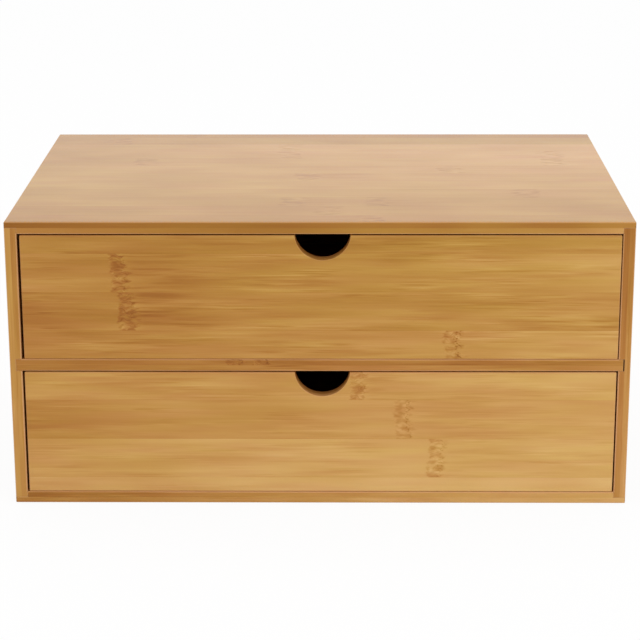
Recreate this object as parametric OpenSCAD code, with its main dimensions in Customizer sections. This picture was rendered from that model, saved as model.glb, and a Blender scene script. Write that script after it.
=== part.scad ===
// Desktop mini drawers: a case of pressed bamboo boards that holds two full-width drawers.
// All sizes are millimetres. The origin is the middle of the footprint, on the desk.
// +Z is up, +X is to the right and the drawer fronts face -Y.

/* [Case] */
// Width over the side panels
case_w = 335; // [260:1:460]
// Depth from the front edges to the rear edges
case_d = 232; // [150:1:330]
// Height from the desk to the top face
case_h = 159; // [110:1:240]
// Thickness of the case boards
board_t = 6.6; // [5:0.1:10]
// Depth of the lapped corners and of the shelf's housings
joint_d = 3.3; // [1.5:0.1:4.5]
// Edge sanded off the outside of the case and round the drawer openings
case_ease = 0.5; // [0.2:0.1:1]
// Slack of the shelf's thickness in its housings
housing_fit = 0.1; // [0.05:0.05:0.3]
// Gap past the right end of the shelf, in its housing
shelf_end_gap = 0.7; // [0.1:0.1:1.2]

/* [Case back] */
// Thickness of the back panel, set flush into the rear of the case
back_t = 4; // [3:0.5:6]
// How far the back panel laps over each board round it
back_lap = 3.3; // [2:0.1:4.5]
// Clearance round the edges of the back panel
back_fit = 0.15; // [0.05:0.05:0.5]
// Pins across the back in each of its three rows
back_row_pins = 3; // [2:1:7]
// Distance from the openings' sides to the outer pins of a row
back_pin_inset = 30; // [10:1:50]

/* [Drawer fronts] */
// Thickness of the fronts
front_t = 8; // [6.5:0.5:12]
// Gap at each end of a front that stands in the middle
front_side_gap = 0.95; // [0.5:0.05:2]
// Gap above the fronts
front_top_gap = 0.7; // [0.4:0.1:2]
// Running clearance under the drawers
drawer_lift = 0.15; // [0.1:0.05:0.6]
// Edge sanded off the fronts
front_ease = 0.5; // [0.2:0.1:1]
// How far right of the middle the upper drawer rests
upper_shift = 0.45; // [-0.45:0.05:0.45]
// How far right of the middle the lower drawer rests
lower_shift = 0.15; // [-0.45:0.05:0.45]

/* [Finger notches] */
// Radius of the notch bored into the top edge of each front
notch_r = 15; // [8:0.5:22]
// Height of the bore's centre above the front's top edge
notch_rise = 1.4; // [0:0.1:5]
// How far right of the front's middle the notch is bored
notch_offset = 1.2; // [-5:0.1:5]
// Edge sanded off the rim of the notch
notch_ease = 0.3; // [0.2:0.1:1]

/* [Drawer boxes] */
// Thickness of the drawer sides
side_t = 5; // [4:0.5:8]
// Thickness of the drawer backs
rear_t = 5; // [4:0.5:8]
// Height from a side's top edge up to the front's top edge
side_drop = 4; // [1:0.5:20]
// Step from the end of a front in to the drawer side behind it
side_inset = 0.5; // [0.2:0.1:2]
// Depth of the rebates in a front that take the sides
front_lap = 4; // [2:0.5:5]
// Depth of the rebates in the sides that take the drawer's back
rear_lap = 2.5; // [1:0.5:3.5]
// Gap between a shut drawer and the case back
stop_gap = 0.3; // [0.2:0.1:2]
// Edge sanded off the sides and back
box_ease = 0.5; // [0.2:0.1:1.5]

/* [Drawer bottoms] */
// Thickness of the bottom board
bottom_t = 3; // [2:0.5:5]
// Depth of the groove that holds the bottom on all four sides
groove_d = 2.5; // [1.5:0.5:3.5]
// Height of the groove above the drawer's lower edge
groove_rise = 4; // [2:0.5:10]
// Clearance of the bottom board in its groove
groove_fit = 0.15; // [0.05:0.05:0.4]

/* [Pins] */
// Radius of the steel pins
pin_r = 0.6; // [0.4:0.05:0.8]
// Radius of their heads
pin_head_r = 0.9; // [0.85:0.05:1.2]
// Thickness of their heads
pin_head_t = 0.5; // [0.3:0.1:1]
// Length of their points
pin_point = 1.5; // [0.5:0.1:3]
// Length of the pins that hold the case back
back_pin_l = 16; // [10:1:25]
// Length of the pins in the drawer corners
drawer_pin_l = 14; // [10:1:20]
// Clearance round a pin in its hole
pin_fit = 0.03; // [0.02:0.01:0.1]
// Pins up each corner of a drawer
corner_pins = 2; // [2:1:4]
// Distance of the corner pins from the groove and from the side's top edge
corner_pin_inset = 9; // [5:0.5:12]

/* [Hidden] */
$fn = 96;

// Sides of the object and the two levels of drawers
LEFT = -1;
RIGHT = 1;
LOWER = 0;
UPPER = 1;

// Finish colours, close to the real boards
CASE_COLOUR = "#b98448";
FRONT_COLOUR = "#c69250";
BOX_COLOUR = "#cfa264";
THIN_COLOUR = "#d6b07a";
STEEL_COLOUR = "#9b9d9f";

// How far a cut runs on past the face that it leaves
cut_past = 1;

// Openings of the case
opening_w = case_w - 2 * board_t;
opening_h = (case_h - 3 * board_t) / 2;
function opening_z(level) = board_t + level * (opening_h + board_t);
shelf_z = board_t + opening_h;
front_y = -case_d / 2;
back_y = case_d / 2 - back_t;

// Sides of the case, between the laps of the top and the bottom panel
side_panel_z = board_t - joint_d;
side_panel_h = case_h - 2 * side_panel_z;

// Fronts and boxes of the drawers, whose z starts at the drawer's lower edge
front_w = opening_w - 2 * front_side_gap;
front_h = opening_h - front_top_gap - drawer_lift;
front_rear_y = front_y + front_t;
side_h = front_h - side_drop;
side_y = front_rear_y - front_lap;
rear_y = back_y - stop_gap;
box_w = front_w - 2 * side_inset;
tray_w = box_w - 2 * side_t;
groove_h = bottom_t + groove_fit;
function drawer_x(level) = level == UPPER ? upper_shift : lower_shift;
function drawer_z(level) = opening_z(level) + drawer_lift;

// Places of the pins
back_pin_span = opening_w - 2 * back_pin_inset;
corner_pin_low = groove_rise + groove_h + corner_pin_inset;
corner_pin_span = side_h - corner_pin_inset - corner_pin_low;
function spread(count, span) = [for (i = [0 : count - 1]) (i / (count - 1) - 0.5) * span];
function corner_pin_zs() = [for (z = spread(corner_pins, corner_pin_span)) corner_pin_low + corner_pin_span / 2 + z];

// ---- shared shapes ----

// A box from its lowest to its highest corner
module box(low, high) {
    translate(low) cube(high - low);
}

// A rectangle about the origin with its corners cut off at 45 degrees
module eased_rect(w, h, ease) {
    polygon([
        [ease - w / 2, -h / 2], [w / 2 - ease, -h / 2], [w / 2, ease - h / 2], [w / 2, h / 2 - ease],
        [w / 2 - ease, h / 2], [ease - w / 2, h / 2], [-w / 2, h / 2 - ease], [-w / 2, ease - h / 2]
    ]);
}

// A block on z = 0, centred in x and y, with all its edges eased
module eased_block(w, d, h, ease) {
    translate([0, 0, h / 2])
    intersection() {
        linear_extrude(h, center = true) eased_rect(w, d, ease);
        rotate([90, 0, 0]) linear_extrude(d, center = true) eased_rect(w, h, ease);
        rotate([90, 0, 90]) linear_extrude(w, center = true) eased_rect(d, h, ease);
    }
}

// A pin along +X, its head's flat at x = 0. Its hole is the same shape, larger by grow,
// and starts a little before the head's flat, at -past.
module pin(length, grow = 0, past = 0) {
    rotate([0, 90, 0])
    rotate_extrude()
    polygon([
        [0, -past], [pin_head_r + grow, -past], [pin_head_r + grow, pin_head_t + grow],
        [pin_r + grow, pin_head_t + grow], [pin_r + grow, length - pin_point], [0, length + grow]
    ]);
}

// ---- case ----

// A case board: the child, eased where it reaches the outside of the case or the rim of a
// drawer opening, cut back for the back panel and drilled for its pins
module case_board() {
    difference() {
        intersection() {
            eased_block(case_w, case_d, case_h, case_ease);
            children();
        }
        opening_ease(LOWER);
        opening_ease(UPPER);
        back_recess();
        back_pins_shape(pin_fit, cut_past);
    }
}

// Wedge that eases the rim of a drawer opening at the front of the case
module opening_ease(level) {
    in = case_ease;
    out = case_ease + cut_past;
    translate([0, front_y, opening_z(level) + opening_h / 2])
    intersection() {
        linear_extrude(opening_h + 2 * out, center = true)
        flare(opening_w, in, out);
        rotate([0, 90, 0]) linear_extrude(opening_w + 2 * out, center = true)
        flare(opening_h, in, out);
    }
}

// Trapezium that is as wide as the opening at y = in and widens at 45 degrees towards -Y
module flare(w, in, out) {
    polygon([[-w / 2, in], [w / 2, in], [w / 2 + out, in - out], [-w / 2 - out, in - out]]);
}

// Recess in the rear of the case that the back panel lies in
module back_recess() {
    box([-opening_w / 2 - back_lap, back_y, board_t - back_lap],
        [opening_w / 2 + back_lap, case_d / 2 + cut_past, case_h - board_t + back_lap]);
}

// Outline of a side panel, run on outwards by past to cut the laps of the top and bottom
module side_panel_block(side, past = 0) {
    inner = opening_w / 2;
    outer = case_w / 2 + past;
    end = case_d / 2 + past;
    box([side == LEFT ? -outer : inner, -end, side_panel_z],
        [side == LEFT ? -inner : outer, end, side_panel_z + side_panel_h]);
}

module flat_panel(z) {
    case_board()
    difference() {
        box([-case_w / 2, -case_d / 2, z], [case_w / 2, case_d / 2, z + board_t]);
        side_panel_block(LEFT, cut_past);
        side_panel_block(RIGHT, cut_past);
    }
}

module side_panel(side) {
    housing = opening_w / 2 + joint_d;
    case_board()
    difference() {
        side_panel_block(side);
        box([-housing, front_y - cut_past, shelf_z - housing_fit / 2],
            [housing, back_y, shelf_z + board_t + housing_fit / 2]);
    }
}

module top_panel() {
    color(CASE_COLOUR) flat_panel(case_h - board_t);
}

module bottom_panel() {
    color(CASE_COLOUR) flat_panel(0);
}

module left_side_panel() {
    color(CASE_COLOUR) side_panel(LEFT);
}

module right_side_panel() {
    color(CASE_COLOUR) side_panel(RIGHT);
}

module middle_shelf() {
    color(CASE_COLOUR)
    case_board()
    box([-opening_w / 2 - joint_d, front_y, shelf_z],
        [opening_w / 2 + joint_d - shelf_end_gap, back_y, shelf_z + board_t]);
}

module back_panel() {
    edge = back_lap - back_fit;
    color(THIN_COLOUR)
    difference() {
        box([-opening_w / 2 - edge, back_y, board_t - edge],
            [opening_w / 2 + edge, case_d / 2, case_h - board_t + edge]);
        back_pins_shape(pin_fit, cut_past);
    }
}

// Pins driven forwards through the back panel: a row into the bottom, the shelf and the top,
// and one into each side panel at the middle of each drawer
module back_pins_shape(grow = 0, past = 0) {
    edge = back_lap / 2;
    rows = [board_t - edge, shelf_z + board_t / 2, case_h - board_t + edge];
    for (x = spread(back_row_pins, back_pin_span), z = rows)
        back_pin_at(x, z, grow, past);
    for (side = [LEFT, RIGHT], level = [LOWER, UPPER])
        back_pin_at(side * (opening_w / 2 + edge), opening_z(level) + opening_h / 2, grow, past);
}

module back_pin_at(x, z, grow, past) {
    translate([x, case_d / 2, z]) rotate([0, 0, -90]) pin(back_pin_l, grow, past);
}

module back_panel_pins() {
    color(STEEL_COLOUR) back_pins_shape();
}

// ---- drawers ----

// Moves a drawer's piece from its own height and middle to its place in the case
module in_drawer(level) {
    translate([drawer_x(level), 0, drawer_z(level)]) children();
}

// Bore of the finger notch, with a cone at each face of the front for the sanded rim
module notch_bore() {
    flare_r = notch_r + notch_ease + cut_past;
    cone_l = notch_ease + cut_past;
    translate([notch_offset, front_rear_y, front_h + notch_rise])
    rotate([90, 0, 0]) {
        translate([0, 0, -cut_past]) cylinder(h = front_t + 2 * cut_past, r = notch_r);
        translate([0, 0, -cut_past]) cylinder(h = cone_l, r1 = flare_r, r2 = notch_r);
        translate([0, 0, front_t - notch_ease]) cylinder(h = cone_l, r1 = notch_r, r2 = flare_r);
    }
}

module drawer_front() {
    difference() {
        translate([0, front_y + front_t / 2, 0]) eased_block(front_w, front_t, front_h, front_ease);
        notch_bore();
        for (side = [LEFT, RIGHT]) side_rebate(side);
        bottom_groove();
        corner_pins_shape(pin_fit, cut_past);
    }
}

// Rebate across each end of a front's rear face, for the end of the drawer side
module side_rebate(side) {
    inner = tray_w / 2;
    outer = front_w / 2 + cut_past;
    box([side == LEFT ? -outer : inner, side_y, -cut_past],
        [side == LEFT ? -inner : outer, front_rear_y + cut_past, front_h + cut_past]);
}

// Groove round the inside of the drawer box that holds the bottom
module bottom_groove() {
    half_w = tray_w / 2 + groove_d;
    box([-half_w, front_rear_y - groove_d, groove_rise],
        [half_w, rear_y - rear_t + groove_d, groove_rise + groove_h]);
}

module drawer_side(side) {
    difference() {
        translate([side * (tray_w + side_t) / 2, (side_y + rear_y) / 2, side_h / 2])
        rotate([90, 0, 0])
        linear_extrude(rear_y - side_y, center = true)
        eased_rect(side_t, side_h, box_ease);
        bottom_groove();
        back_board(cut_past);
        corner_pins_shape(pin_fit, cut_past);
    }
}

// The back's board between the rebates of the sides, run on past them to cut the rebates
module back_board(past = 0) {
    half_w = tray_w / 2 + rear_lap;
    box([-half_w, rear_y - rear_t, -past], [half_w, rear_y + past, side_h + past]);
}

module drawer_back() {
    difference() {
        intersection() {
            back_board();
            translate([0, rear_y - rear_t / 2, side_h / 2])
            rotate([90, 0, 90])
            linear_extrude(box_w, center = true)
            eased_rect(rear_t, side_h, box_ease);
        }
        bottom_groove();
        corner_pins_shape(pin_fit, cut_past);
    }
}

module drawer_bottom() {
    edge = groove_d - groove_fit;
    z = groove_rise + groove_fit / 2;
    box([-tray_w / 2 - edge, front_rear_y - edge, z],
        [tray_w / 2 + edge, rear_y - rear_t + edge, z + bottom_t]);
}

// Pins driven inwards through the drawer sides into the front and the back
module corner_pins_shape(grow = 0, past = 0) {
    ys = [front_rear_y - front_lap / 2, rear_y - rear_t / 2];
    for (side = [LEFT, RIGHT], y = ys, z = corner_pin_zs())
        translate([side * box_w / 2, y, z])
        rotate([0, 0, side == LEFT ? 0 : 180])
        pin(drawer_pin_l, grow, past);
}

module upper_drawer_front() {
    color(FRONT_COLOUR) in_drawer(UPPER) drawer_front();
}

module upper_drawer_left_side() {
    color(BOX_COLOUR) in_drawer(UPPER) drawer_side(LEFT);
}

module upper_drawer_right_side() {
    color(BOX_COLOUR) in_drawer(UPPER) drawer_side(RIGHT);
}

module upper_drawer_back() {
    color(BOX_COLOUR) in_drawer(UPPER) drawer_back();
}

module upper_drawer_bottom() {
    color(THIN_COLOUR) in_drawer(UPPER) drawer_bottom();
}

module upper_drawer_pins() {
    color(STEEL_COLOUR) in_drawer(UPPER) corner_pins_shape();
}

module lower_drawer_front() {
    color(FRONT_COLOUR) in_drawer(LOWER) drawer_front();
}

module lower_drawer_left_side() {
    color(BOX_COLOUR) in_drawer(LOWER) drawer_side(LEFT);
}

module lower_drawer_right_side() {
    color(BOX_COLOUR) in_drawer(LOWER) drawer_side(RIGHT);
}

module lower_drawer_back() {
    color(BOX_COLOUR) in_drawer(LOWER) drawer_back();
}

module lower_drawer_bottom() {
    color(THIN_COLOUR) in_drawer(LOWER) drawer_bottom();
}

module lower_drawer_pins() {
    color(STEEL_COLOUR) in_drawer(LOWER) corner_pins_shape();
}

top_panel();
bottom_panel();
left_side_panel();
right_side_panel();
middle_shelf();
back_panel();
back_panel_pins();
upper_drawer_front();
upper_drawer_left_side();
upper_drawer_right_side();
upper_drawer_back();
upper_drawer_bottom();
upper_drawer_pins();
lower_drawer_front();
lower_drawer_left_side();
lower_drawer_right_side();
lower_drawer_back();
lower_drawer_bottom();
lower_drawer_pins();
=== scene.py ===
"""Desktop mini drawers in pressed bamboo.

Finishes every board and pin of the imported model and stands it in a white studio. It is laid
out as an add-on and run as a script. Lengths are metres unless a name or comment says mm.
"""

import math
import random
from bisect import bisect
from typing import NamedTuple

import bmesh
import bpy
from bpy.props import FloatProperty, FloatVectorProperty, IntProperty, PointerProperty
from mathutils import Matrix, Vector


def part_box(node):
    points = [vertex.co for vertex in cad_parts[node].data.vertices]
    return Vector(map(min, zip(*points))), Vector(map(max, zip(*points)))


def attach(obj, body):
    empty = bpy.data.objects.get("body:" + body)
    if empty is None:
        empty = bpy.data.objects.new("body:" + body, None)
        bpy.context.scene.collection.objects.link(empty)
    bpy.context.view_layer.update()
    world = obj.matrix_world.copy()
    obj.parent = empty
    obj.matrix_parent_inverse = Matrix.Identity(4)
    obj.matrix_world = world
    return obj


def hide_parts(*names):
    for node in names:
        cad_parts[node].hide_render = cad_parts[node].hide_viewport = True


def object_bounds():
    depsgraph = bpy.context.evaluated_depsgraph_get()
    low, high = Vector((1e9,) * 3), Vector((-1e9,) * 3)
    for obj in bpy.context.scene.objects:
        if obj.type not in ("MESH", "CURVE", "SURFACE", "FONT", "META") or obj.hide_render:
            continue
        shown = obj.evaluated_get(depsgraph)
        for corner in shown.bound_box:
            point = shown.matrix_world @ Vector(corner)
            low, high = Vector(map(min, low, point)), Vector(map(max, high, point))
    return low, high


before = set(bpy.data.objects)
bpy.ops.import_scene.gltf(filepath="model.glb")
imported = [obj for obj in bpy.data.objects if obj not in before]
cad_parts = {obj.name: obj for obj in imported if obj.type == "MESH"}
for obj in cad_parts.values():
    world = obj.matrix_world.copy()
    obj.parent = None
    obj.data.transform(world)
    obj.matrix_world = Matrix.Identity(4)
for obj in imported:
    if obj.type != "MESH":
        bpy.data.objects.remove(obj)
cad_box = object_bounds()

bl_info = {
    "name": "Desktop Mini Drawers",
    "version": (1, 0, 0),
    "blender": (4, 5, 0),
    "location": "View3D > Sidebar > Mini Drawers",
    "description": "Finishes the bamboo boards and steel pins of a two-drawer desktop case",
    "category": "Object",
}

MM = 0.001
# Points of the model that are nearer to each other than this are one point
WELD = MM / 1000
WHITE = (1.0, 1.0, 1.0, 1.0)


def srgb(red, green, blue):
    """A colour picked as 0 to 255 values, as the linear values that Blender keeps."""
    values = (channel / 255 for channel in (red, green, blue))
    return tuple(v / 12.92 if v <= 0.04045 else ((v + 0.055) / 1.055) ** 2.4 for v in values)


# ---- settings ----


class BoardSettings(bpy.types.PropertyGroup):
    """Sizes of the bamboo boards' strips, arrises and knots."""

    strip_width: FloatProperty(
        name="Strip width", description="Width of the bamboo strips pressed side by side",
        default=20.5 * MM, min=5 * MM, max=60 * MM, unit="LENGTH", precision=4)
    arris: FloatProperty(
        name="Arris", description="How far the sharp edges are rounded off by the last sanding",
        default=0.16 * MM, min=0.02 * MM, max=0.4 * MM, unit="LENGTH", precision=5)
    knot_length: FloatProperty(
        name="Knot length", description="Length along the grain of the mark at a bamboo node",
        default=11 * MM, min=2 * MM, max=30 * MM, unit="LENGTH", precision=4)


class BambooColours(bpy.types.PropertyGroup):
    """Colours of the bamboo, of the painted highlight on its edges, and of its lacquer's gloss."""

    straw: FloatVectorProperty(
        name="Straw", description="The palest bamboo of the most yellow strips", subtype="COLOR",
        default=srgb(224, 185, 116), min=0, max=1)
    russet: FloatVectorProperty(
        name="Russet", description="The palest bamboo of the reddest strips", subtype="COLOR",
        default=srgb(215, 160, 108), min=0, max=1)
    stain: FloatVectorProperty(
        name="Stain", description="What one full step of tone multiplies a colour by",
        subtype="COLOR", default=srgb(173, 140, 66), min=0, max=1)
    # Colour of the painted highlight on the rounded edges, standing in for the light that they
    # catch
    arris: FloatVectorProperty(
        name="Arris", description="The worn lacquer on the rounded edges", subtype="COLOR",
        default=srgb(222, 178, 132), min=0, max=1)
    roughness: FloatProperty(
        name="Roughness", description="Roughness of the satin lacquer",
        default=0.2, min=0, max=1, subtype="FACTOR")


class PinSettings(bpy.types.PropertyGroup):
    """Shape of the steel pins, whose length and head size come from the pins of the imported model.
    """

    shaft_share: FloatProperty(
        name="Shaft share", description="Shaft radius as a share of the head radius",
        default=0.66, min=0.3, max=0.9, subtype="FACTOR")
    head_thickness: FloatProperty(
        name="Head thickness", description="Thickness of a pin's head",
        default=0.5 * MM, min=0.2 * MM, max=1 * MM, unit="LENGTH", precision=5)
    point_length: FloatProperty(
        name="Point length", description="Length of a pin's point",
        default=1.5 * MM, min=0.5 * MM, max=3 * MM, unit="LENGTH", precision=4)
    sides: IntProperty(
        name="Sides", description="Number of faces round a pin", default=28, min=8, max=64)
    steel: FloatVectorProperty(
        name="Steel", description="Colour of the bright steel", subtype="COLOR",
        default=srgb(186, 186, 184), min=0, max=1)


class StageSettings(bpy.types.PropertyGroup):
    """The studio: camera, lights and floor."""

    camera_place: FloatVectorProperty(
        name="Camera place", description="Where the camera stands", subtype="TRANSLATION",
        default=(0.0122, -1.1967, 0.4263), unit="LENGTH", precision=4)
    camera_turn: FloatVectorProperty(
        name="Camera turn", description="Tilt, roll and turn of the camera", subtype="EULER",
        default=tuple(math.radians(a) for a in (73.443, 0.140, 0.596)), unit="ROTATION")
    lens: FloatProperty(
        name="Lens", description="Focal length for a sensor 36 mm wide, in millimetres",
        default=118.33, min=20, max=300)
    daylight: FloatProperty(
        name="Daylight", description="Strength of the white surroundings on the object",
        default=0.84, min=0, max=2)
    key: FloatProperty(
        name="Key light", description="Power of the soft light at the front right",
        default=3, min=0, max=100, unit="POWER")
    overhead: FloatProperty(
        name="Overhead light", description="Power of the wide light above the object",
        default=4.5, min=0, max=100, unit="POWER")
    floor_white: FloatProperty(
        name="Floor white", description="How white the floor is to the camera",
        default=0.93, min=0, max=1, subtype="FACTOR")


# ---- node trees ----


class Wire:
    """An output socket of a node that takes part in sums as a number does."""

    def __init__(self, nodes, socket):
        self.nodes = nodes
        self.socket = socket

    def maths(self, operation, *values):
        return self.nodes.node("ShaderNodeMath", {"operation": operation}, dict(enumerate(values)))

    def __add__(self, other):
        return self.maths("ADD", self, other)

    def __sub__(self, other):
        return self.maths("SUBTRACT", self, other)

    def __rsub__(self, other):
        return self.maths("SUBTRACT", other, self)

    def __mul__(self, other):
        return self.maths("MULTIPLY", self, other)

    def __truediv__(self, other):
        return self.maths("DIVIDE", self, other)

    def __abs__(self):
        return self.maths("ABSOLUTE", self)

    __radd__ = __add__
    __rmul__ = __mul__

    def least(self, other):
        return self.maths("MINIMUM", self, other)

    def most(self, other):
        return self.maths("MAXIMUM", self, other)

    def clamped(self):
        return self.most(0.0).least(1.0)

    def below(self, other):
        return self.maths("LESS_THAN", self, other)

    def sign(self):
        return self.maths("SIGN", self)

    def ease(self, start, end):
        """0 below start and 1 above end, with a smooth rise between them."""
        return self.nodes.node(
            "ShaderNodeMapRange", {"interpolation_type": "SMOOTHSTEP"},
            {"Value": self, "From Min": start, "From Max": end})


class NodeTree:
    """A node tree and the one way that its nodes are added."""

    def __init__(self, tree):
        self.tree = tree

    def node(self, kind, settings=None, sockets=None, output=0):
        """Adds a node: first its settings, then the values or links of its sockets."""
        added = self.tree.nodes.new(kind)
        for name, value in (settings or {}).items():
            setattr(added, name, value)
        for key, value in (sockets or {}).items():
            self.feed(added.inputs[key], value)
        return Wire(self, added.outputs[output]) if added.outputs else None

    def feed(self, socket, value):
        """Links a wire to an input socket, or sets the socket to a value."""
        if isinstance(value, Wire):
            self.tree.links.new(value.socket, socket)
        else:
            socket.default_value = value

    def vector(self, x, y, z):
        return self.node("ShaderNodeCombineXYZ", sockets={"X": x, "Y": y, "Z": z})


class Shader(NodeTree):
    """The shader of a new material or world."""

    def __init__(self, owner):
        owner.use_nodes = True
        super().__init__(owner.node_tree)
        self.owner = owner
        self.tree.nodes.clear()

    def parts(self, vector):
        """The three parts of a vector."""
        split = self.node("ShaderNodeSeparateXYZ", sockets={"Vector": vector}).socket.node
        return [Wire(self, socket) for socket in split.outputs]

    def attribute(self, name):
        """The three parts of one of the mesh's vector attributes."""
        read = self.node("ShaderNodeAttribute", {"attribute_name": name}, output="Vector")
        return self.parts(read)

    def noise(self, vector, detail):
        """Soft noise from 0 to 1 whose features are about one unit of the vector across."""
        fac = self.node("ShaderNodeTexNoise", {"noise_dimensions": "3D"},
                        {"Vector": vector, "Scale": 1.0, "Detail": detail})
        return fac.ease(0.25, 0.75)

    def mix(self, factor, first, second, blend="MIX"):
        """Mixes two colours."""
        return self.node("ShaderNodeMix", {"data_type": "RGBA", "blend_type": blend},
                         {0: factor, 6: first, 7: second}, output=2)

    def stain(self, colour, steps):
        """A stain's colour laid on so many times over."""
        return self.node("ShaderNodeGamma", sockets={"Color": colour, "Gamma": steps})

    def bump(self, height, distance):
        return self.node("ShaderNodeBump", sockets={"Height": height, "Distance": distance})

    def seen_rays(self):
        """1 for the rays that show the background: from the camera, and in gloss and glass."""
        rays = [self.node("ShaderNodeLightPath", output=name)
                for name in ("Is Camera Ray", "Is Glossy Ray", "Is Transmission Ray")]
        return rays[0].most(rays[1]).most(rays[2])

    def finish(self, sockets):
        """Ends the material in one Principled surface with these sockets."""
        surface = self.node("ShaderNodeBsdfPrincipled", sockets=sockets)
        self.node("ShaderNodeOutputMaterial", sockets={"Surface": surface})
        return self.owner


# ---- materials ----


class Look(NamedTuple):
    """How one kind of board differs from the others."""

    streaks: float = 1.0
    # What is added to the roughness of the lacquer
    roughness: float = 0.0
    # How pale the painted highlight on the rims round the gaps is
    painted_rim_highlight: float = 0.0
    # The middle and the spread of the tone and warmth of strips drawn at random
    tone: float = 0.5
    tone_spread: float = 0.08
    warmth: float = 0.5
    warmth_spread: float = 0.3
    # How many of those strips have a knot
    knot_share: float = 0.75


LOOKS = {
    "case_bamboo": Look(painted_rim_highlight=0.45),
    "front_bamboo": Look(painted_rim_highlight=0.1),
    "drawer_box_bamboo": Look(streaks=1.1, tone=0.36, warmth=0.4),
    "thin_board": Look(streaks=0.9, roughness=0.1, tone=0.26, tone_spread=0.05, warmth=0.3),
}


def opaque(colour):
    """A colour property as the four values of a colour socket."""
    return (*colour, 1.0)


def along_strip(ends, place):
    """Value at a place from -1 to 1 along a board, of a strip's low end, middle and high end."""
    low, middle, high = ends
    return middle + place * (high - low) * 0.5 + place * place * ((low + high) * 0.5 - middle)


class Spots(NamedTuple):
    """A pattern of spots: how often it turns per mm along the grain, across and through."""

    along: float
    across: float
    through: float
    # How far a strip's seed moves it
    seed: float
    detail: float = 1.0


class Streaks(NamedTuple):
    """A pattern of streaks, with their length along the grain and height across it in mm."""

    length: float
    height: float
    # Sets it apart from the other streaks of its strip
    offset: float
    detail: float = 1.0


KNOT_WANDER = Spots(0.02, 0.08, 0.0, seed=31.0)
KNOT_EDGE = Spots(0.14, 0.5, 0.5, seed=7.0)
KNOT_TURN = Spots(0.22, 0.24, 0.3, seed=11.0)
KNOT_BLOTCHES = Spots(0.22, 0.42, 0.3, seed=19.0)
KNOT_DOTS = Spots(0.8, 1.1, 1.0, seed=3.0, detail=0.0)
BANDS = Streaks(110.0, 5.0, offset=3.7)
SWING = Streaks(65.0, 8.0, offset=6.4)
FIBRES = Streaks(36.0, 2.0, offset=1.3, detail=2.0)
FINE_FIBRES = Streaks(16.0, 0.7, offset=5.9)
DARK_LINES = Streaks(28.0, 0.9, offset=7.3)
PALE_LINES = Streaks(42.0, 0.9, offset=2.2)


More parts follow.
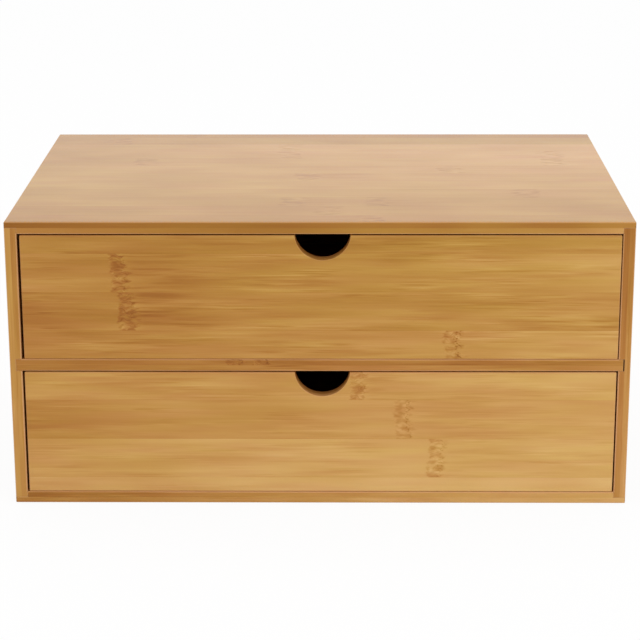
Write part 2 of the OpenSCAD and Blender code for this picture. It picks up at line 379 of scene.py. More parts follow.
class Bamboo(Shader):
    """Lacquered bamboo, drawn from the attributes that a board's mesh carries.

    Places and lengths are in mm. Each step adds to the tone and to the warmth.
    """

    IOR = 1.31
    RELIEF = 0.02 * MM
    # How far a strip's seed moves its streaks along the grain and across it
    SEED_ALONG = 13.0
    SEED_ACROSS = 29.0
    # How far a knot wanders off its line, and how far it turns the fibres aside, in mm
    WANDER = 2.5
    TURN = 2.5
    # What the patterns of the figure add to the tone over their whole swing
    BAND_TONE = 0.13
    DRIFT_TONE = 0.16
    FIBRE_TONE = 0.13
    FINE_TONE = 0.03
    DARK_LINE_TONE = 0.13
    PALE_LINE_TONE = -0.11
    # The same for the warmth
    HUE_WARMTH = 0.4
    FIBRE_WARMTH = 0.2
    # What joints, end grain and its bundles add to the tone
    JOINT_TONE = 0.05
    END_TONE = 0.12
    BUNDLE_TONE = 0.2

    def __init__(self, slot, sizes):
        super().__init__(bpy.data.materials.new(slot))
        self.look = LOOKS[slot]
        self.sizes = sizes
        self.along, self.across, self.through = self.attribute("grain")
        self.from_centre, self.from_glue, place = self.attribute("lay")
        self.knot_a, self.knot_b, self.seed = self.attribute("marks")
        self.end_grain, self.arris, self.growth = self.attribute("cut")
        self.strength, self.patch_width, self.sheltered = self.attribute("finish")
        self.tone = along_strip(self.attribute("tone"), place)
        self.warmth = along_strip(self.attribute("warmth"), place)
        # A knot's strength, whichever way its streaks trail
        self.vigour = abs(self.growth)
        # Above 0 on boards whose streaks are weak: their knots are longer and softer
        self.faint = (0.7 - self.strength).most(0.0)

    def spots(self, pattern, closeness=1.0):
        """A pattern of spots from 0 to 1; less closeness draws them out along the grain."""
        return self.noise(self.vector(
            self.along * (pattern.along * closeness),
            self.across * pattern.across + self.seed * pattern.seed,
            self.through * pattern.through), pattern.detail)

    def streaks(self, pattern):
        """A pattern of streaks from 0 to 1 that follow the fibres."""
        return self.noise(self.vector(
            self.along / pattern.length + self.seed * (self.SEED_ALONG + pattern.offset),
            self.fibre / pattern.height + self.seed * (self.SEED_ACROSS + pattern.offset),
            self.through / pattern.height + pattern.offset), pattern.detail)

    def place_knots(self):
        """Sets the core of the nearest knot, the way past its middle, and the turned fibres.

        A knot is a soft band across the strip, ragged on the side that its streaks trail to.
        """
        self.half_knot = self.sizes.knot_length / MM / 2 * (1.0 + self.faint * 1.1)
        wander = (self.spots(KNOT_WANDER) - 0.5) * self.WANDER
        from_a = self.along - self.knot_a
        from_b = self.along - self.knot_b
        nearer_a = abs(from_a).below(abs(from_b))
        from_knot = from_b + nearer_a * (from_a - from_b) + wander
        self.past = from_knot * self.growth.sign()
        beyond = self.past.ease(-1.0, 2.0)
        ragged = self.spots(KNOT_EDGE)
        reach = self.half_knot * (1.0 + (ragged - 0.5) * (0.3 + beyond * 0.9))
        self.core = 1.0 - abs(from_knot).ease(reach * (0.7 - beyond * 0.3), reach)

        # Fibres run with the grain, and turn aside where they pass a knot
        turn = (self.spots(KNOT_TURN) - 0.5) * self.TURN
        self.fibre = self.across + self.core * turn

    def add_figure(self):
        """Adds the broad drifts and the streaks."""
        # Drifts of tone run on over the seams, and drifts of hue keep to their strip
        drift = self.noise(self.vector(
            self.along / 60.0, self.across / self.patch_width, self.through / 40.0), 1.0)
        hue = self.noise(self.vector(
            self.along / 50.0 + self.seed * 23.0,
            self.across / self.patch_width * 1.7 + self.seed * 37.0,
            self.through / 20.0), 1.0)
        bands = self.streaks(BANDS)

        # Streaks are strong in some places and faint in others, in the paler strips and
        # before a knot
        calm = knot_trail(0.0 - self.past) * self.vigour
        swing = (0.3 + self.streaks(SWING).ease(0.2, 0.85)) * (1.0 - calm * 0.7)
        self.fibres = self.streaks(FIBRES)
        self.fine = self.streaks(FINE_FIBRES)
        dark_lines = self.streaks(DARK_LINES).ease(0.7, 1.0)
        pale_lines = self.streaks(PALE_LINES).ease(0.74, 1.0)
        streaking = ((self.fibres - 0.5) * self.FIBRE_TONE + dark_lines * self.DARK_LINE_TONE
                     + pale_lines * self.PALE_LINE_TONE)
        depth = 0.4 + self.tone * 1.2
        figure = self.look.streaks * self.strength * depth
        self.tone += (bands - 0.5) * figure * self.BAND_TONE
        self.tone += (drift - 0.5) * depth * self.DRIFT_TONE
        self.tone += figure * (swing * streaking + (self.fine - 0.5) * self.FINE_TONE)
        self.warmth += (hue - 0.5) * self.HUE_WARMTH
        self.warmth += swing * (self.fibres - 0.5) * self.FIBRE_WARMTH

    def add_knots(self):
        """Adds the knots' soft blotches, dashes and dots, and the dark streaks past them."""
        blotches = self.spots(KNOT_BLOTCHES, closeness=1.0 - self.faint)
        dashes = self.noise(self.vector(
            self.along * 0.2, self.fibre * 1.3 + self.seed * 23.0, self.through), 1.0)
        dots = self.spots(KNOT_DOTS)
        ragged_side = 1.0 - abs(self.past - self.half_knot * 0.5).ease(0.5, 2.5)
        dashes = dashes.ease(0.45, 0.8) * (0.1 + self.vigour * 0.16)
        dots = ragged_side * dots.ease(0.68, 0.83) * (1.3 - self.vigour * 1.15) * self.strength
        marks = (blotches - 0.3) * (0.5 - self.vigour * 0.16) + self.strength * (dashes + dots)
        trail = knot_trail(self.past) * self.growth * self.growth
        self.tone += self.core * (0.45 + self.vigour * 0.4) * marks
        self.tone += trail * (self.fibres.ease(0.4, 0.8) * 0.12 + 0.01)
        self.warmth += self.strength * (self.core * blotches * self.vigour * 0.9 + trail * 0.3)

    def add_joints(self):
        """Adds the hairlines between strips and between the layers."""
        seam_gap = (0.5 - abs(self.from_centre)) * (self.sizes.strip_width / MM)
        seam = 1.0 - seam_gap.ease(0.04, 0.22)
        glue = 1.0 - abs(self.from_glue).ease(0.03, 0.16)
        self.joint_line = seam.most(glue) * (1.0 - self.end_grain * 0.4)
        self.tone += self.joint_line * self.JOINT_TONE

    def add_end_grain(self):
        """Adds the deeper tone of end grain and the dots of its cut fibre bundles."""
        place = self.vector(self.across * 1.15 + self.seed * 17.0, self.through * 1.5, 0.0)
        cells = self.node("ShaderNodeTexVoronoi",
                          {"feature": "F1", "voronoi_dimensions": "2D"},
                          {"Vector": place, "Scale": 1.0})
        self.bundles = 1.0 - cells.ease(0.18, 0.36)
        self.tone += self.end_grain * (self.bundles * self.BUNDLE_TONE + self.END_TONE)

    def lacquered(self, colours):
        """Ends the material with the colour, gloss and relief of all the steps."""
        # Painted highlight: arrises are paler on the outside, and a little round the gaps, standing
        # in for the light that the rounded edges catch
        rim_highlight = self.sheltered * self.arris * self.look.painted_rim_highlight
        tone = self.tone - rim_highlight
        # Painted shade: faces in the gaps and inside the case are made warmer, standing in for the
        # reddish light bounced between the boards there
        warmth = self.warmth + self.sheltered * 0.4
        painted_highlight = self.arris * (1.0 - self.sheltered) * 0.35 + rim_highlight * 0.5
        palest = self.mix(warmth.clamped(), opaque(colours.straw), opaque(colours.russet))
        stain = self.stain(opaque(colours.stain), tone.most(0.0))
        colour = self.mix(1.0, palest, stain, "MULTIPLY")

        # End grain and sheltered faces have little lacquer
        dry = self.end_grain.most(self.sheltered)
        roughness = colours.roughness + self.look.roughness + (self.fine - 0.5) * 0.06 + dry * 0.55
        height = ((self.fibres + self.fine) * self.strength * 0.3 - self.joint_line * 0.5
                  - self.bundles * self.end_grain)
        return self.finish({
            "Base Color": self.mix(painted_highlight, colour, opaque(colours.arris)),
            "Roughness": roughness,
            "IOR": self.IOR,
            "Normal": self.bump(height, self.RELIEF),
        })


def knot_trail(past):
    """1 just past a knot, fading out over some 50 mm."""
    return past.ease(2.0, 9.0) * (1.0 - past.ease(15.0, 52.0))


def bamboo_material(slot, colours, sizes):
    """The bamboo of one material slot."""
    bamboo = Bamboo(slot, sizes)
    bamboo.place_knots()
    bamboo.add_figure()
    bamboo.add_knots()
    bamboo.add_joints()
    bamboo.add_end_grain()
    return bamboo.lacquered(colours)


def steel_material(slot, pins):
    """Bright steel with the fine scratches of a drawn wire."""
    scratch = 0.25 * MM
    s = Shader(bpy.data.materials.new(slot))
    x, y, z = s.parts(s.node("ShaderNodeTexCoord", output="Object"))
    grain = s.noise(s.vector(x / scratch, y / scratch, z / scratch), 3.0)
    colour = s.mix(grain * 0.35, opaque(pins.steel), opaque(Vector(pins.steel) * 0.45))
    return s.finish({
        "Base Color": colour,
        "Metallic": 1.0,
        "Roughness": 0.28 + grain * 0.2,
        "Normal": s.bump(grain, 0.01 * MM),
    })


def floor_material(white):
    """A white floor that keeps part of the object's shadow to the camera."""
    s = Shader(bpy.data.materials.new("studio_floor"))
    lit = s.node("ShaderNodeBsdfDiffuse", sockets={"Color": (0.95, 0.95, 0.95, 1.0)})
    glow = s.node("ShaderNodeEmission", sockets={"Color": WHITE, "Strength": 1.0})
    factor = s.seen_rays() * white
    surface = s.node("ShaderNodeMixShader", sockets={0: factor, 1: lit, 2: glow})
    s.node("ShaderNodeOutputMaterial", sockets={"Surface": surface})
    return s.owner


# ---- boards ----


class Strip(NamedTuple):
    """One bamboo strip: its tone and warmth at its low end, middle and high end.

    Tone runs from 0, the palest, to about 1, the deepest, and warmth from 0, straw, to 1, russet.
    Knots are places along the grain, in mm. The sign of growth is the side to which their streaks
    trail, and its size from 0 to 1 says how strong they are.
    """

    tone: tuple
    warmth: tuple
    knots: tuple = ()
    growth: float = 0.0


class Board(NamedTuple):
    """A board of the model and how its strips lie."""

    node: str
    body: str
    slot: str
    # Axes along the grain, across the strips and through the layers
    axes: str
    layers: int = 2
    # The layer whose strips are listed, counted from the low side
    shown_layer: int = 0
    # From the low edge to the first seam of that layer, in mm. The other layer's seams lie
    # half a strip further on
    first_seam: float = 12.0
    # How wide its strips are and how strong their streaks, as shares of the usual
    widening: float = 1.0
    figure: float = 1.0
    # How far across the grain its drifts of tone reach, in mm
    patch_width: float = 11.0
    # The listed strips, from the low edge up, and each layer's front edge, from the low side
    strips: tuple = ()
    front_edges: tuple = ()


CASE_BOARDS = (
    Board("top_panel", "case", "case_bamboo", "xyz",
          shown_layer=1, first_seam=15.7, figure=0.25, patch_width=28.0,
          strips=(
              Strip((0.5, 0.44, 0.45), (0.55, 0.5, 0.4), (28.0,), -0.75),
              Strip((0.51, 0.42, 0.44), (0.45, 0.4, 0.4), (5.0,)),
              Strip((0.46, 0.39, 0.41), (0.25, 0.35, 0.4), (33.0, -15.0), 0.5),
              Strip((0.46, 0.37, 0.35), (0.15, 0.3, 0.4), (115.0,), -0.5),
              Strip((0.4, 0.31, 0.27), (0.2, 0.4, 0.5)),
              Strip((0.39, 0.3, 0.23), (0.2, 0.45, 0.6), (-8.0,), 0.75),
              Strip((0.38, 0.27, 0.2), (0.25, 0.5, 0.6), (74.0,), 0.55),
              Strip((0.44, 0.25, 0.13), (0.35, 0.5, 0.65), (-104.0, 138.0), 0.65),
              Strip((0.45, 0.21, 0.12), (0.4, 0.6, 0.7), (-20.0, 138.0), -0.65),
              Strip((0.43, 0.21, 0.16), (0.4, 0.6, 0.7), (-20.0,)),
          ),
          front_edges=(
              Strip((0.4, 0.66, 0.22), (0.68, 0.25, 0.58)),
              Strip((0.86, 0.72, 0.6), (0.6, 0.45, 0.5)),
          )),
    Board("bottom_panel", "case", "case_bamboo", "xyz", shown_layer=0, first_seam=12.5,
          front_edges=(
              Strip((0.57, 0.2, 0.05), (0.8, 0.5, 0.45)),
              Strip((0.67, 0.29, 0.1), (0.75, 0.5, 0.5)),
          )),
    Board("left_side_panel", "case", "case_bamboo", "zyx", shown_layer=0, first_seam=9.0,
          front_edges=(
              Strip((0.3, 0.34, 0.32), (0.5, 0.4, 0.35)),
              Strip((0.35, 0.38, 0.51), (0.5, 0.5, 0.7)),
          )),
    Board("right_side_panel", "case", "case_bamboo", "zyx", shown_layer=1, first_seam=14.0,
          front_edges=(
              Strip((0.47, 0.58, 0.8), (0.8, 0.9, 1.0)),
              Strip((0.3, 0.42, 0.64), (0.6, 0.7, 0.8)),
          )),
    Board("middle_shelf", "case", "case_bamboo", "xyz", shown_layer=1, first_seam=7.5,
          front_edges=(
              Strip((0.56, 0.58, 0.46), (0.74, 0.76, 0.72)),
              Strip((0.58, 0.67, 0.54), (0.74, 0.82, 0.72), (-32.0, -46.0), 0.6),
          )),
)

FRONTS = (
    Board("upper_drawer_front", "upper_drawer", "front_bamboo", "xzy",
          first_seam=16.1, widening=1.04,
          strips=(
              Strip((0.5, 0.38, 0.22), (0.72, 0.48, 0.42), (71.6,), 0.4),
              Strip((0.53, 0.45, 0.4), (0.78, 0.33, 0.46), (-103.0,), 1.0),
              Strip((0.43, 0.48, 0.24), (0.62, 0.27, 0.25), (-106.9,), 0.9),
              Strip((0.52, 0.55, 0.37), (0.55, 0.24, 0.22)),
          )),
    Board("lower_drawer_front", "lower_drawer", "front_bamboo", "xzy",
          first_seam=8.3, widening=1.09, figure=0.7,
          strips=(
              Strip((0.19, 0.07, 0.05), (0.46, 0.36, 0.24)),
              Strip((0.28, 0.13, 0.16), (0.5, 0.32, 0.24), (63.9,), 0.55),
              Strip((0.44, 0.26, 0.17), (0.64, 0.5, 0.46), (45.5,), 0.35),
              Strip((0.33, 0.26, 0.16), (0.48, 0.46, 0.22), (20.1,), 0.75),
          )),
)


def drawer_boards(side_grain, names, slot, layers):
    """The like boards of both drawers, whose nodes end in the given names."""
    return tuple(
        Board(f"{body}_{name}", body, slot, side_grain, layers=layers, first_seam=9.0 + 5.0 * i)
        for body in ("upper_drawer", "lower_drawer") for i, name in enumerate(names))


DRAWER_BOARDS = (
    drawer_boards("yzx", ("left_side", "right_side"), "drawer_box_bamboo", 1)
    + drawer_boards("xzy", ("back",), "drawer_box_bamboo", 1))
THIN_BOARDS = (
    (Board("back_panel", "case", "thin_board", "xzy", layers=1),)
    + drawer_boards("xyz", ("bottom",), "thin_board", 1))


# Stands for the place of a knot that a strip doesn't have, in mm
NO_KNOT = 9999.0
# How far off a board of one layer its glue line is taken to be
NO_GLUE = 1.0
# Seeds run from 0 to this
SEEDS = 9
# Corners between faces that turn less than this are left sharp
BEVELLED_ABOVE = math.radians(25)


def seams_between(low, high, first, pitch):
    """Places of the seams of a layer between the low and the high edge of a board."""
    seam = low + first % pitch
    seams = []
    while seam < high - 0.1 * pitch:
        if seam > low + 0.1 * pitch:
            seams.append(seam)
        seam += pitch
    return seams


def drawn_strip(look, draw, low, high):
    """A strip drawn at random, with its knots between the ends of the board."""
    tone = look.tone + draw.uniform(-1, 1) * look.tone_spread
    warmth = look.warmth + draw.uniform(-1, 1) * look.warmth_spread
    drift = draw.uniform(-0.05, 0.05)
    turn = draw.uniform(-0.2, 0.2)
    knots = (draw.uniform(low, high) / MM,) if draw.random() < look.knot_share else ()
    return Strip((tone - drift, tone, tone + drift), (warmth - turn, warmth, warmth + turn),
                 knots, draw.choice((-1.0, 1.0)) * draw.uniform(0.3, 0.8))


def merged_copy(node):
    """A CAD mesh as one closed skin of large flat faces."""
    skin = bmesh.new()
    skin.from_mesh(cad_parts[node].data)
    bmesh.ops.remove_doubles(skin, verts=skin.verts, dist=WELD)
    bmesh.ops.dissolve_limit(
        skin, angle_limit=math.radians(0.5), verts=skin.verts, edges=skin.edges)
    return skin


def round_arrises(skin, width):
    """Rounds the long outer edges; the rims of the pin holes stay crisp."""
    shortest = 1.2 * MM
    edges = [
        edge for edge in skin.edges
        if edge.is_convex and edge.calc_length() > shortest
        and edge.calc_face_angle() > BEVELLED_ABOVE]
    bmesh.ops.bevel(skin, geom=edges, offset=width, offset_type="OFFSET", segments=2,
                    profile=0.6, affect="EDGES", clamp_overlap=True)


def cut_across(skin, axis, place):
    """Adds edges where a plane across an axis passes through the skin."""
    normal = Vector([float(i == axis) for i in range(3)])
    bmesh.ops.bisect_plane(skin, geom=skin.verts[:] + skin.edges[:] + skin.faces[:],
                           dist=WELD, plane_co=normal * place, plane_no=normal)


def is_sheltered(place):
    """Whether a place is in a gap or inside the closed case, where the lacquer is thin, the colour
    carries painted shade and the rims a painted highlight.
    """
    low, high = cad_box
    nearest, second, _ = sorted(min(place[i] - low[i], high[i] - place[i]) for i in range(3))
    return nearest > 0.05 * MM and second > 0.4 * MM


def describe_strips(skin, board, strip_width):
    """Cuts the skin along its seams and gives each face its strip's character.

    The attributes hold three numbers each:
    grain: mm along the grain, across it and through the layers
    lay: strips from the middle of the strip, mm from the glue line, and -1 to 1 along the board
    tone, warmth: at the strip's low end, middle and high end
    marks: mm along the grain of two knots, and the strip's seed
    cut: how far the face is end grain, whether it is an arris, and the knots' growth
    finish: strength of the streaks, width of the drifts in mm, and whether it is sheltered
    """
    pitch = strip_width * board.widening
    grain, width, thick = ("xyz".index(letter) for letter in board.axes)
    low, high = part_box(board.node)
    layer_t = (high[thick] - low[thick]) / board.layers
    seams = [
        seams_between(low[width], high[width],
                      board.first_seam * MM + (layer != board.shown_layer) * pitch / 2, pitch)
        for layer in range(board.layers)]
    for layer in range(1, board.layers):
        cut_across(skin, thick, low[thick] + layer * layer_t)
    for seam in sorted(set(sum(seams, []))):
        cut_across(skin, width, seam)
    look = LOOKS[board.slot]
    glue = low[thick] + layer_t if board.layers == 2 else low[thick] - NO_GLUE
    middle = (low[grain] + high[grain]) / 2
    half = (high[grain] - low[grain]) / 2

    point = skin.verts.layers.float_vector.new("grain")
    lay = skin.loops.layers.float_vector.new("lay")
    made = {name: skin.faces.layers.float_vector.new(name)
            for name in ("tone", "warmth", "marks", "cut", "finish")}
    for vert in skin.verts:
        vert[point] = Vector((vert.co[grain], vert.co[width], vert.co[thick])) / MM
    for face in skin.faces:
        centre = face.calc_center_median()
        layer = min(int((centre[thick] - low[thick]) / layer_t), board.layers - 1)
        index = bisect(seams[layer], centre[width])
        draw = random.Random(f"{board.node} {layer} {index}")
        strip = drawn_strip(look, draw, low[grain], high[grain])
        if layer == board.shown_layer and index < len(board.strips):
            strip = board.strips[index]
        facing = [abs(face.normal[axis]) for axis in (grain, width, thick)]
        if board.front_edges and face.normal[width] < -0.5 and facing[2] < 0.9:
            strip = board.front_edges[layer]
        knot_a, knot_b = (*strip.knots, NO_KNOT, NO_KNOT)[:2]
        sheltered = is_sheltered(centre)
        # The walls of a notch turn from the grain to the edge, and are neither arris nor bevel
        across_grain = facing[0] ** 2 if facing[2] < 0.1 else 0.0
        on_arris = max(facing) < 0.97 and (facing[2] > 0.1 or not sheltered)
        face[made["tone"]] = strip.tone
        face[made["warmth"]] = strip.warmth
        face[made["marks"]] = (knot_a, knot_b, draw.random() * SEEDS)
        face[made["cut"]] = (across_grain, float(on_arris), strip.growth)
        face[made["finish"]] = (board.figure, board.patch_width, float(sheltered))
        centre_line = seams[layer][0] + (index - 0.5) * pitch
        for loop in face.loops:
            co = loop.vert.co
            loop[lay] = ((co[width] - centre_line) / pitch, (co[thick] - glue) / MM,
                         (co[grain] - middle) / half)
        face.smooth = True


def make_board(board, sizes, material):
    """Makes the finished piece that stands for one board of the model."""
    skin = merged_copy(board.node)
    round_arrises(skin, sizes.arris)
    describe_strips(skin, board, sizes.strip_width)
    if any(len(edge.link_faces) != 2 for edge in skin.edges):
        raise RuntimeError(f"the finished skin of {board.node} isn't closed")
    mesh = bpy.data.meshes.new(f"bamboo_{board.node}")
    skin.to_mesh(mesh)
    skin.free()
    mesh.materials.clear()
    mesh.materials.append(material)
    mesh.set_sharp_from_angle(angle=math.radians(50))
    piece = bpy.data.objects.new(mesh.name, mesh)
    bpy.context.scene.collection.objects.link(piece)
    flat = piece.modifiers.new("Flat faces", "WEIGHTED_NORMAL")
    flat.keep_sharp = True
    settle(piece, board.body, board.node)


def settle(piece, body, node):
    """Turns a piece into a plain mesh and fixes it to the body of the node it stands for."""
    evaluated = piece.evaluated_get(bpy.context.evaluated_depsgraph_get())
    mesh = bpy.data.meshes.new_from_object(evaluated)
    mesh.name = piece.name
    piece.modifiers.clear()
    piece.data = mesh
    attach(piece, body)
    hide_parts(node)


def make_boards(context, boards):
    """Makes a group of boards, with one material for each of their slots."""
    scene = context.scene
    materials = {}
    for board in boards:
        if board.slot not in materials:
            materials[board.slot] = bamboo_material(
                board.slot, scene.bamboo_colours, scene.board_settings)
        make_board(board, scene.board_settings, materials[board.slot])


# ---- pins ----


class PinSite(NamedTuple):
    """Where a pin of the model starts and points, with its length and head radius."""

    head: Vector
    aim: Vector
    length: float
    radius: float


def pin_sites(node):
    """Finds each pin of a CAD node: its longest side is its length, and its head is widest."""
    skin = bmesh.new()
    skin.from_mesh(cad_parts[node].data)
    bmesh.ops.remove_doubles(skin, verts=skin.verts, dist=WELD)
    sites = []
    left = set(skin.verts)
    while left:
        found = {left.pop()}
        reach = list(found)
        while reach:
            linked = {edge.other_vert(vert) for vert in reach for edge in vert.link_edges}
            reach = list(linked - found)
            found |= linked
        left -= found
        sites.append(pin_site([vert.co.copy() for vert in found]))
    skin.free()
    return sorted(sites, key=lambda site: tuple(round(c, 5) for c in site.head))


def pin_site(points):
    """The site of the pin that has these points."""
    low = Vector([min(p[i] for p in points) for i in range(3)])
    high = Vector([max(p[i] for p in points) for i in range(3)])
    axis = max(range(3), key=lambda i: high[i] - low[i])
    radius = max((high[i] - low[i]) / 2 for i in range(3) if i != axis)
    centre = (low + high) / 2

    def width_at(end):
        near = [p for p in points if abs(p[axis] - end) < 0.1 * MM]
        return max(Vector([p[i] - centre[i] for i in range(3) if i != axis]).length for p in near)

    head_high = width_at(high[axis]) > width_at(low[axis])
    head = centre.copy()
    head[axis] = high[axis] if head_high else low[axis]
    aim = Vector([float(i == axis) for i in range(3)]) * (-1 if head_high else 1)
    return PinSite(head, aim, high[axis] - low[axis], radius)


class PinTree(NodeTree):
    """Geometry nodes that turn one pin profile into a pin at every site."""

    SIZES = ("Length", "Head Radius", "Head Thickness", "Shaft Radius", "Point Length")
    # Height of the rounding on a head's top, and the share of the head's radius that it leaves
    CROWN = 0.08 * MM
    CROWN_SHARE = 0.9
    # Height of the fillet under a head, and radius of the blunt point
    FILLET = 0.05 * MM
    TIP = 0.03 * MM

    def __init__(self):
        super().__init__(bpy.data.node_groups.new("Pins on their sites", "GeometryNodeTree"))
        interface = self.tree.interface
        interface.new_socket("Geometry", in_out="INPUT", socket_type="NodeSocketGeometry")
        for name in self.SIZES:
            interface.new_socket(name, in_out="INPUT", socket_type="NodeSocketFloat")
        interface.new_socket("Sides", in_out="INPUT", socket_type="NodeSocketInt")
        interface.new_socket("Material", in_out="INPUT", socket_type="NodeSocketMaterial")
        interface.new_socket("Geometry", in_out="OUTPUT", socket_type="NodeSocketGeometry")
        self.build()

    def by_index(self, values):
        """The value of a list that belongs to a point's index."""
        index = self.node("GeometryNodeInputIndex")
        chooser = self.node("GeometryNodeIndexSwitch", {"data_type": "FLOAT"}).socket.node
        while len(chooser.index_switch_items) < len(values):
            chooser.index_switch_items.new()
        for socket, value in zip(chooser.inputs, (index, *values)):
            self.feed(socket, value)
        return Wire(self, chooser.outputs[0])

    def build(self):
        """Adds the nodes: the profile of a pin, one pin, and its copies on the sites."""
        inputs = self.node("NodeGroupInput").socket.node.outputs
        given = {socket.name: Wire(self, socket) for socket in inputs}
        length, head_r, head_t, shaft_r, point_l = (given[name] for name in self.SIZES)
        heights = (0.0, self.CROWN, head_t, head_t + self.FILLET, length - point_l, length)
        radii = (head_r * self.CROWN_SHARE, head_r, head_r, shaft_r, shaft_r, self.TIP)
        line = self.node("GeometryNodeMeshLine", sockets={"Count": len(heights)})
        along = self.vector(0.0, 0.0, self.by_index(heights))
        placed = self.node("GeometryNodeSetPosition", sockets={"Geometry": line, "Position": along})
        curve = self.node("GeometryNodeMeshToCurve", sockets={"Mesh": placed})
        ring = self.node("GeometryNodeCurvePrimitiveCircle",
                         sockets={"Resolution": given["Sides"], "Radius": 1.0})
        pin = self.node("GeometryNodeCurveToMesh", sockets={
            "Curve": curve, "Profile Curve": ring, "Scale": self.by_index(radii),
            "Fill Caps": True})
        aim = self.node("GeometryNodeInputNamedAttribute", {"data_type": "FLOAT_VECTOR"},
                        {"Name": "aim"})
        turn = self.node("FunctionNodeAlignRotationToVector", {"axis": "Z"}, {"Vector": aim})
        pins = self.node("GeometryNodeInstanceOnPoints", sockets={
            "Points": given["Geometry"], "Instance": pin, "Rotation": turn})
        real = self.node("GeometryNodeRealizeInstances", sockets={"Geometry": pins})
        dressed = self.node("GeometryNodeSetMaterial", sockets={
            "Geometry": real, "Material": given["Material"]})
        self.node("NodeGroupOutput", sockets={"Geometry": dressed})

    def fill(self, modifier, values):
        """Sets a modifier's inputs by the identifiers of their sockets."""
        identifiers = {item.name: item.identifier for item in self.tree.interface.items_tree
                       if item.in_out == "INPUT"}
        for name, value in values.items():
            modifier[identifiers[name]] = value


def make_pins(tree, node, body, pins, material):
    """Makes the steel pins of one body on the sites of its CAD pins."""
    sites = pin_sites(node)
    mesh = bpy.data.meshes.new(f"steel_{node}")
    mesh.from_pydata([site.head for site in sites], [], [])
    aim = mesh.attributes.new("aim", "FLOAT_VECTOR", "POINT")
    aim.data.foreach_set("vector", [value for site in sites for value in site.aim])
    piece = bpy.data.objects.new(mesh.name, mesh)
    bpy.context.scene.collection.objects.link(piece)
    modifier = piece.modifiers.new("Pins", "NODES")
    modifier.node_group = tree.tree
    radius = sites[0].radius
    tree.fill(modifier, {
        "Length": sites[0].length,
        "Head Radius": radius,
        "Head Thickness": pins.head_thickness,
        "Shaft Radius": radius * pins.shaft_share,
        "Point Length": pins.point_length,
        "Sides": pins.sides,
        "Material": material,
    })
    settle(piece, body, node)
    if not piece.data.polygons:
        raise RuntimeError(f"no pins were made for {node}")


# ---- stage ----


class Lamp(NamedTuple):
    """A round soft light: where it stands, what it points at and how wide it is."""

    name: str
    place: tuple
    target: tuple
    width: float


KEY_LAMP = Lamp("key", (0.95, -1.25, 0.55), (0.02, -0.05, 0.05), 1.1)
OVERHEAD_LAMP = Lamp("overhead", (0.0, 0.1, 1.5), (0.0, 0.05, 0.1), 1.35)


def make_world(daylight):
    """White to the camera and in reflections, and a softer white as light."""
    world = bpy.data.worlds.new("white_studio")
    s = Shader(world)
    strength = daylight + s.seen_rays() * (1.0 - daylight)
    sky = s.node("ShaderNodeBackground", sockets={"Color": WHITE, "Strength": strength})
    s.node("ShaderNodeOutputWorld", sockets={"Surface": sky})
    bpy.context.scene.world = world


def make_floor(white):
    """Lays the floor just under the object."""
    reach = 4.0
    drop = -0.05 * MM
    corners = [(x * reach, y * reach, drop) for x, y in ((-1, -1), (1, -1), (1, 1), (-1, 1))]
    mesh = bpy.data.meshes.new("studio_floor")
    mesh.from_pydata(corners, [], [(0, 1, 2, 3)])
    mesh.materials.append(floor_material(white))
    floor = bpy.data.objects.new("studio_floor", mesh)
    bpy.context.scene.collection.objects.link(floor)


def make_light(lamp, power):
    """Hangs a lamp and points it at its target."""
    light = bpy.data.lights.new(lamp.name, "AREA")
    light.shape = "DISK"
    light.size = lamp.width
    light.energy = power
    hung = bpy.data.objects.new(lamp.name, light)
    hung.location = lamp.place
    aim = Vector(lamp.target) - Vector(lamp.place)
    hung.rotation_euler = aim.to_track_quat("-Z", "Y").to_euler()
    bpy.context.scene.collection.objects.link(hung)


def make_camera(stage):
    """Stands the camera where the photo was taken from."""
    camera = bpy.data.cameras.new("camera")
    camera.sensor_width = 36.0
    camera.lens = stage.lens
    camera.clip_start = 0.05
    camera.clip_end = 50.0
    seat = bpy.data.objects.new("camera", camera)
    seat.location = stage.camera_place
    seat.rotation_euler = stage.camera_turn
    bpy.context.scene.collection.objects.link(seat)
    bpy.context.scene.camera = seat


# ---- operators ----


class DRAWERS_OT_case_boards(bpy.types.Operator):
    """Finish the top, bottom, sides and shelf of the case"""

    bl_idname = "drawers.case_boards"
    bl_label = "Case boards"
    bl_options = {"REGISTER", "UNDO"}

    def execute(self, context):
        make_boards(context, CASE_BOARDS)
        return {"FINISHED"}


class DRAWERS_OT_drawer_fronts(bpy.types.Operator):
    """Finish the two drawer fronts with their finger notches"""

    bl_idname = "drawers.drawer_fronts"
    bl_label = "Drawer fronts"
    bl_options = {"REGISTER", "UNDO"}

    def execute(self, context):
        make_boards(context, FRONTS)
        return {"FINISHED"}


class DRAWERS_OT_drawer_boxes(bpy.types.Operator):
    """Finish the sides and backs of the drawer boxes"""

    bl_idname = "drawers.drawer_boxes"
    bl_label = "Drawer boxes"
    bl_options = {"REGISTER", "UNDO"}

    def execute(self, context):
        make_boards(context, DRAWER_BOARDS)
        return {"FINISHED"}


class DRAWERS_OT_thin_boards(bpy.types.Operator):
    """Finish the back panel of the case and the drawer bottoms"""

    bl_idname = "drawers.thin_boards"
    bl_label = "Back panel and drawer bottoms"
    bl_options = {"REGISTER", "UNDO"}

    def execute(self, context):
        make_boards(context, THIN_BOARDS)
        return {"FINISHED"}


class DRAWERS_OT_pins(bpy.types.Operator):
    """Make the steel pins of the case back and the drawer corners"""

    bl_idname = "drawers.pins"
    bl_label = "Steel pins"
    bl_options = {"REGISTER", "UNDO"}

    def execute(self, context):
        pins = context.scene.pin_settings
        material = steel_material("steel_pins", pins)
        tree = PinTree()
        for node, body in (("back_panel_pins", "case"), ("upper_drawer_pins", "upper_drawer"),
                           ("lower_drawer_pins", "lower_drawer")):
            make_pins(tree, node, body, pins, material)
        return {"FINISHED"}


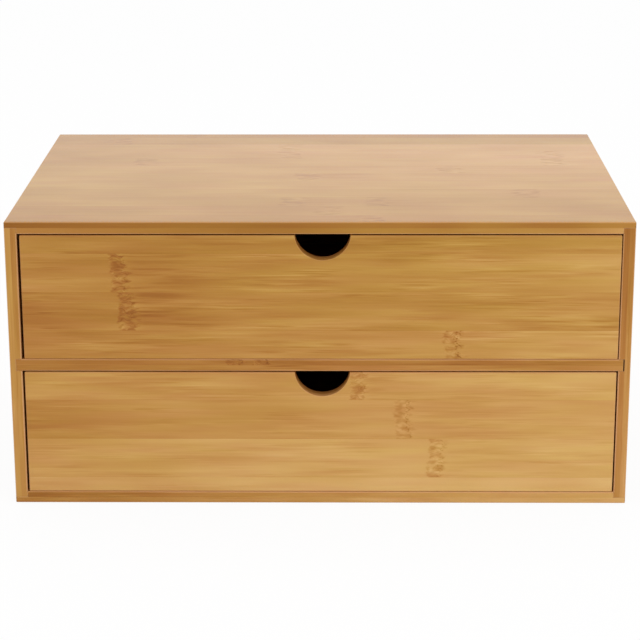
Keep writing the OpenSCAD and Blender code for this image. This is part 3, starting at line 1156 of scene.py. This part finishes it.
class DRAWERS_OT_stage(bpy.types.Operator):
    """Set the white floor, the surroundings, the light and the camera"""

    bl_idname = "drawers.stage"
    bl_label = "Studio"
    bl_options = {"REGISTER", "UNDO"}

    def execute(self, context):
        stage = context.scene.stage_settings
        context.scene.view_settings.view_transform = "Standard"
        make_world(stage.daylight)
        make_floor(stage.floor_white)
        make_light(KEY_LAMP, stage.key)
        make_light(OVERHEAD_LAMP, stage.overhead)
        make_camera(stage)
        return {"FINISHED"}


OPERATORS = (
    DRAWERS_OT_case_boards,
    DRAWERS_OT_drawer_fronts,
    DRAWERS_OT_drawer_boxes,
    DRAWERS_OT_thin_boards,
    DRAWERS_OT_pins,
    DRAWERS_OT_stage,
)
SETTINGS = {
    "board_settings": BoardSettings,
    "bamboo_colours": BambooColours,
    "pin_settings": PinSettings,
    "stage_settings": StageSettings,
}


class DRAWERS_PT_sidebar(bpy.types.Panel):
    """Lists the steps that finish the drawers, and their settings"""

    bl_idname = "DRAWERS_PT_sidebar"
    bl_label = "Desktop Mini Drawers"
    bl_space_type = "VIEW_3D"
    bl_region_type = "UI"
    bl_category = "Mini Drawers"

    def draw(self, context):
        for operator in OPERATORS:
            self.layout.operator(operator.bl_idname)
        for name, group in SETTINGS.items():
            box = self.layout.box()
            for setting in group.__annotations__:
                box.prop(getattr(context.scene, name), setting)


CLASSES = (*SETTINGS.values(), *OPERATORS, DRAWERS_PT_sidebar)


def register():
    for cls in CLASSES:
        bpy.utils.register_class(cls)
    for name, group in SETTINGS.items():
        setattr(bpy.types.Scene, name, PointerProperty(type=group))


def unregister():
    for name in SETTINGS:
        delattr(bpy.types.Scene, name)
    for cls in reversed(CLASSES):
        bpy.utils.unregister_class(cls)


def main():
    """Registers the add-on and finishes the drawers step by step."""
    register()
    bpy.ops.drawers.case_boards()
    bpy.ops.drawers.drawer_fronts()
    bpy.ops.drawers.drawer_boxes()
    bpy.ops.drawers.thin_boards()
    bpy.ops.drawers.pins()
    bpy.ops.drawers.stage()


if __name__ == "__main__":
    main()
